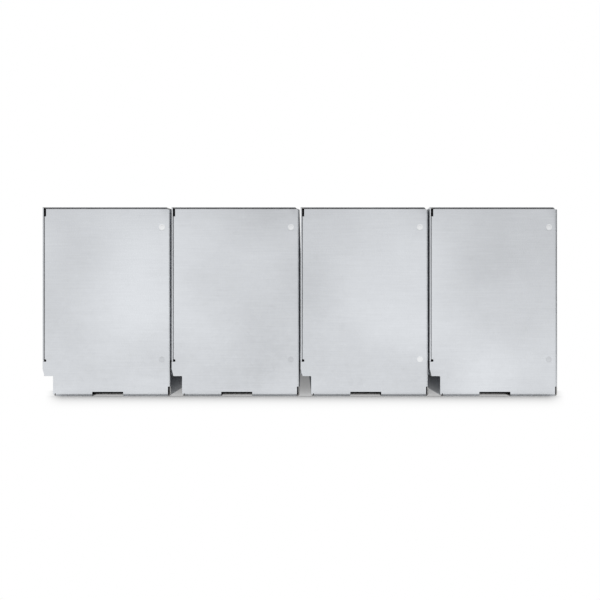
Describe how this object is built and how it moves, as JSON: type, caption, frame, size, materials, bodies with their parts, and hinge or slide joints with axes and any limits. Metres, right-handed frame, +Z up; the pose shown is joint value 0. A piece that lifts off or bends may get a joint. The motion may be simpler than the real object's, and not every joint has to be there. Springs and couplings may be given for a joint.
{
  "type": "ups battery pack",
  "caption": "Row of long zinc-coated sheet-steel battery modules for a UPS, each folded case stepped along its lower left edge and holding sealed lead-acid blocks.",
  "frame": {"origin": "middle of the floor under the pack", "axes": "+Z up, front ends of the modules toward -Y, +X to the right as seen from the front"},
  "size_m": [0.433, 0.5954, 0.159],
  "materials": {
    "zinc_steel": "bare zinc-coated sheet, faintly mottled",
    "block_plastic": "moulded battery container",
    "copper": "bare copper links and leads",
    "connector_plastic": "moulded connector housing",
    "insulation": "thin polypropylene sheet",
    "screw_steel": "zinc-plated screws"
  },
  "bodies": {
    "root": {"case_tray_1": "zinc_steel", "side_cover_1": "zinc_steel", "end_stops_1": "zinc_steel", "wiring_1": "copper", "dc_connector_1": "connector_plastic", "insulating_sheet_1": "insulation", "case_screws_1": "screw_steel", "battery_1_1": "block_plastic", "battery_1_2": "block_plastic", "battery_1_3": "block_plastic", "battery_1_4": "block_plastic", "battery_1_5": "block_plastic", "battery_1_6": "block_plastic", "battery_1_7": "block_plastic", "battery_1_8": "block_plastic", "case_tray_2": "zinc_steel", "side_cover_2": "zinc_steel", "end_stops_2": "zinc_steel", "wiring_2": "copper", "dc_connector_2": "connector_plastic", "insulating_sheet_2": "insulation", "case_screws_2": "screw_steel", "battery_2_1": "block_plastic", "battery_2_2": "block_plastic", "battery_2_3": "block_plastic", "battery_2_4": "block_plastic", "battery_2_5": "block_plastic", "battery_2_6": "block_plastic", "battery_2_7": "block_plastic", "battery_2_8": "block_plastic", "case_tray_3": "zinc_steel", "side_cover_3": "zinc_steel", "end_stops_3": "zinc_steel", "wiring_3": "copper", "dc_connector_3": "connector_plastic", "insulating_sheet_3": "insulation", "case_screws_3": "screw_steel", "battery_3_1": "block_plastic", "battery_3_2": "block_plastic", "battery_3_3": "block_plastic", "battery_3_4": "block_plastic", "battery_3_5": "block_plastic", "battery_3_6": "block_plastic", "battery_3_7": "block_plastic", "battery_3_8": "block_plastic", "case_tray_4": "zinc_steel", "side_cover_4": "zinc_steel", "end_stops_4": "zinc_steel", "wiring_4": "copper", "dc_connector_4": "connector_plastic", "insulating_sheet_4": "insulation", "case_screws_4": "screw_steel", "battery_4_1": "block_plastic", "battery_4_2": "block_plastic", "battery_4_3": "block_plastic", "battery_4_4": "block_plastic", "battery_4_5": "block_plastic", "battery_4_6": "block_plastic", "battery_4_7": "block_plastic", "battery_4_8": "block_plastic"}
  },
  "joints": []
}
